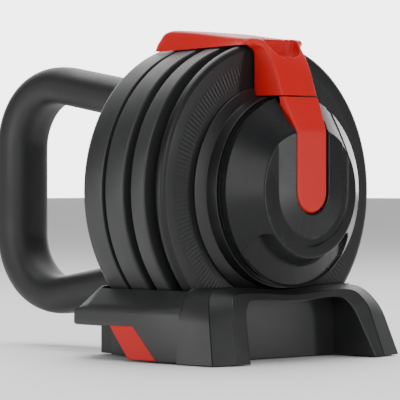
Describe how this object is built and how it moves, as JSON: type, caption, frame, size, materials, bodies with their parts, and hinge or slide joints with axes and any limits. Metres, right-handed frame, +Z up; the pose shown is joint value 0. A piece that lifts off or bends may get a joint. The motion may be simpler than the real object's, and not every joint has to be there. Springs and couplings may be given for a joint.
{
  "type": "adjustable kettlebell",
  "caption": "Adjustable kettlebell lying in its cradle: loop handle, stacked round plates on a shaft, end cap, and a red locking arm with a sprung release tongue.",
  "frame": {"origin": "on the floor, under the middle of the overall box", "axes": "+X along the shaft from the handle to the end cap, +Y across the cradle, +Z up"},
  "size_m": [0.3404, 0.22, 0.2449],
  "materials": {
    "charcoal_plastic": "fine textured charcoal moulding",
    "black_plastic": "satin black moulding",
    "grip_black": "soft-touch black over-moulding",
    "signal_red": "satin red moulding",
    "rubber_black": "matt black rubber",
    "bright_steel": "zinc-plated steel",
    "raw_iron": "painted cast iron"
  },
  "bodies": {
    "base": {"base_tray": "charcoal_plastic", "front_hood": "charcoal_plastic", "rear_foot_block": "black_plastic", "side_insert_left": "signal_red", "side_insert_right": "signal_red", "cradle_pad_left": "rubber_black", "cradle_pad_right": "rubber_black", "rear_foot_screw_left": "bright_steel", "rear_foot_screw_right": "bright_steel", "foot_front_right": "rubber_black", "foot_front_left": "rubber_black", "foot_rear_right": "rubber_black", "foot_rear_left": "rubber_black"},
    "kettlebell": {"handle": "grip_black", "handle_core": "bright_steel", "grip_badge": "black_plastic", "handle_bolt_upper": "bright_steel", "handle_bolt_lower": "bright_steel", "back_plate_shell": "charcoal_plastic", "back_plate_core": "raw_iron", "plate_2_shell": "charcoal_plastic", "plate_2_core": "raw_iron", "plate_3_shell": "charcoal_plastic", "plate_3_core": "raw_iron", "plate_4_shell": "charcoal_plastic", "plate_4_core": "raw_iron", "axle_tube": "bright_steel", "tie_bolt": "bright_steel", "tie_washer": "bright_steel", "cap_housing": "black_plastic", "end_cap": "charcoal_plastic", "cap_screw_1": "bright_steel", "cap_screw_2": "bright_steel", "cap_screw_3": "bright_steel", "arm_pin": "bright_steel"},
    "locking_arm": {"lock_arm": "signal_red", "lock_bar": "bright_steel", "tongue_pin": "bright_steel", "tongue_spring": "bright_steel"},
    "tongue": {"release_tongue": "signal_red"}
  },
  "joints": [
    {"name": "kettlebell_lift", "type": "slide", "parent": "base", "child": "kettlebell", "axis": [0, 0, 1], "range_m": [0, 0.12]},
    {"name": "arm_hinge", "type": "hinge", "parent": "kettlebell", "child": "locking_arm", "pos_m": [0.04775, 0, 0.2382], "axis": [0, -1, 0], "range_deg": [0, 95]},
    {"name": "tongue_hinge", "type": "hinge", "parent": "locking_arm", "child": "tongue", "pos_m": [0.15215, 0, 0.1902], "axis": [0, -1, 0], "range_deg": [0, 12], "stiffness_Nm_per_rad": 0.5, "springref_deg": -11.46}
  ]
}
